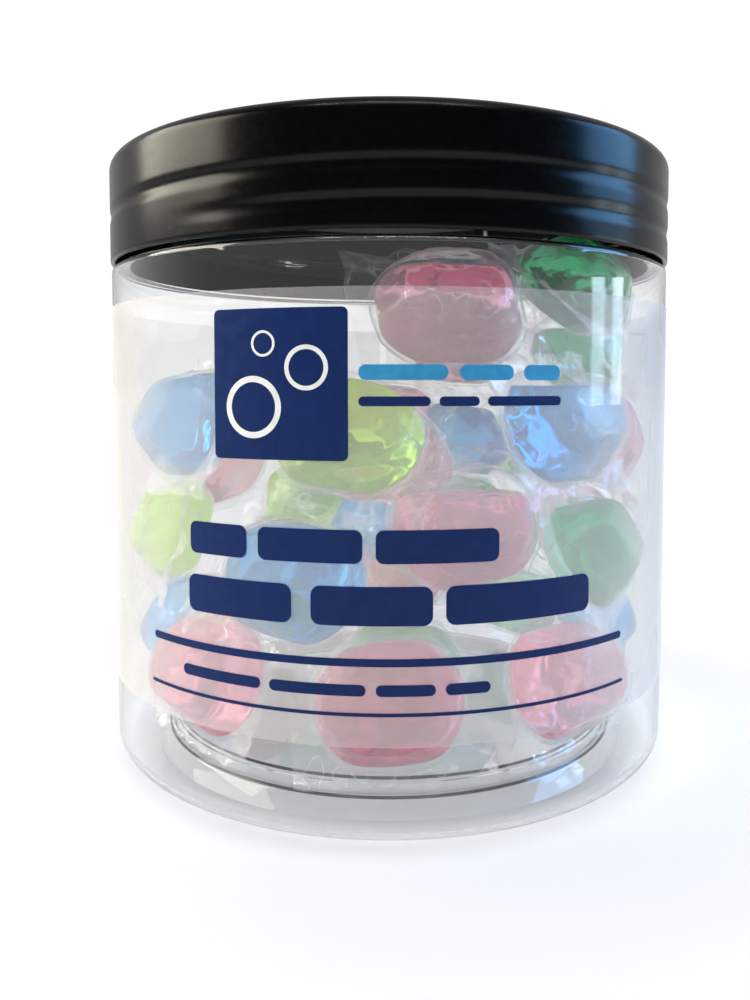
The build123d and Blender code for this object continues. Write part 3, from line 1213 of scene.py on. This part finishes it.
class TUB_OT_stage(bpy.types.Operator):
    """Sets the floor, the lights and the camera"""

    bl_idname = "tub.stage"
    bl_label = "Stage"

    def execute(self, context):
        look = context.scene.tub_stage
        self.lay_floor(look)
        self.light_room(context.scene, look)
        self.hang_lights(look)
        self.aim_camera(context.scene, look)
        return {"FINISHED"}

    def lay_floor(self, look):
        """A round sheet of paper under the tub."""
        clear_selection()
        bpy.ops.mesh.primitive_circle_add(
            vertices=FLOOR_SIDES, radius=FLOOR_RADIUS, fill_type="NGON", location=(0, 0, 0)
        )
        floor = named("stage_paper")
        floor.data.materials.append(stage_paper(look.floor, SHADOW_REACH, GLOW_REACH))

    def light_room(self, scene, look):
        """The white room, and how its light is followed and shown."""
        scene.world = studio_room(look.room_level, look.room_dark)
        scene.view_settings.view_transform = "Standard"
        for setting, value in LIGHT_PATHS.items():
            setattr(scene.cycles, setting, value)

    def hang_lights(self, look):
        """A softbox and lamps above the front, three windows on the right and a warm card on the left."""
        area_light("front_softbox", (0.1, -0.5, 1.1), (1.1, 0.8), look.key_power, WHITE)
        area_light("window_near", (0.43, -0.052, 0.095), (0.052, 0.085), 0.08, PALE_BLUE)
        area_light("window_far", (0.43, 0.034, 0.095), (0.048, 0.085), 0.07, PALE_BLUE)
        area_light("blue_window", (0.5, 0.0, 0.295), (0.26, 0.22), 1.35, DEEP_BLUE, LID_MIDDLE)
        area_light("warm_card", (-0.5, -0.05, 0.315), (0.42, 0.24), 3.0, WARM, LID_MIDDLE)
        for across in CEILING_LAMPS_ACROSS:
            area_light("ceiling_lamp", (across, -0.62, 1.1), (0.20, 0.06), 0.85, WHITE)

    def aim_camera(self, scene, look):
        """The photograph's place and lens."""
        clear_selection()
        bpy.ops.object.camera_add(
            location=(0, -look.camera_distance, look.camera_height),
            rotation=(0.5 * math.pi - look.camera_tilt, 0, 0),
        )
        camera = bpy.context.object
        camera.name = "camera"
        camera.data.sensor_width = SENSOR_SIZE
        camera.data.lens = SENSOR_SIZE * FOCAL_PIXELS / PHOTO_LONG_SIDE
        camera.data.shift_x = -LENS_CENTRE_OFFSET[0] / PHOTO_LONG_SIDE
        camera.data.shift_y = LENS_CENTRE_OFFSET[1] / PHOTO_LONG_SIDE
        camera.data.clip_start = 10 * MM
        scene.camera = camera


# Sidebar

OPERATORS = (TUB_OT_jar, TUB_OT_lid, TUB_OT_liner, TUB_OT_label, TUB_OT_print, TUB_OT_pods, TUB_OT_stage)
SETTINGS = {
    "tub_thread": ThreadSizes,
    "tub_jar": JarSizes,
    "tub_lid": LidSizes,
    "tub_label": LabelLook,
    "tub_pods": PodLook,
    "tub_stage": StageLook,
}


class TUB_PT_sidebar(bpy.types.Panel):
    """Lists the tub's pieces and their settings"""

    bl_idname = "TUB_PT_sidebar"
    bl_label = "Laundry Pod Tub"
    bl_space_type = "VIEW_3D"
    bl_region_type = "UI"
    bl_category = "Pod Tub"

    def draw(self, context):
        for operator in OPERATORS:
            self.layout.operator(operator.bl_idname)
        for name, kind in SETTINGS.items():
            box = self.layout.box()
            box.label(text=kind.__doc__)
            for setting in kind.__annotations__:
                box.prop(getattr(context.scene, name), setting)


def register():
    """Registers the settings, the operators and the sidebar."""
    for kind in (*SETTINGS.values(), *OPERATORS, TUB_PT_sidebar):
        bpy.utils.register_class(kind)
    for name, kind in SETTINGS.items():
        setattr(bpy.types.Scene, name, bpy.props.PointerProperty(type=kind))


def unregister():
    """Takes away what register added."""
    for name in SETTINGS:
        delattr(bpy.types.Scene, name)
    for kind in (TUB_PT_sidebar, *reversed(OPERATORS), *reversed(SETTINGS.values())):
        bpy.utils.unregister_class(kind)


def main():
    """Builds the tub and its stage."""
    register()
    bpy.ops.tub.jar()
    bpy.ops.tub.lid()
    bpy.ops.tub.liner()
    bpy.ops.tub.label()
    bpy.ops.tub.label_print()
    bpy.ops.tub.pods()
    bpy.ops.tub.stage()


if __name__ == "__main__":
    main()
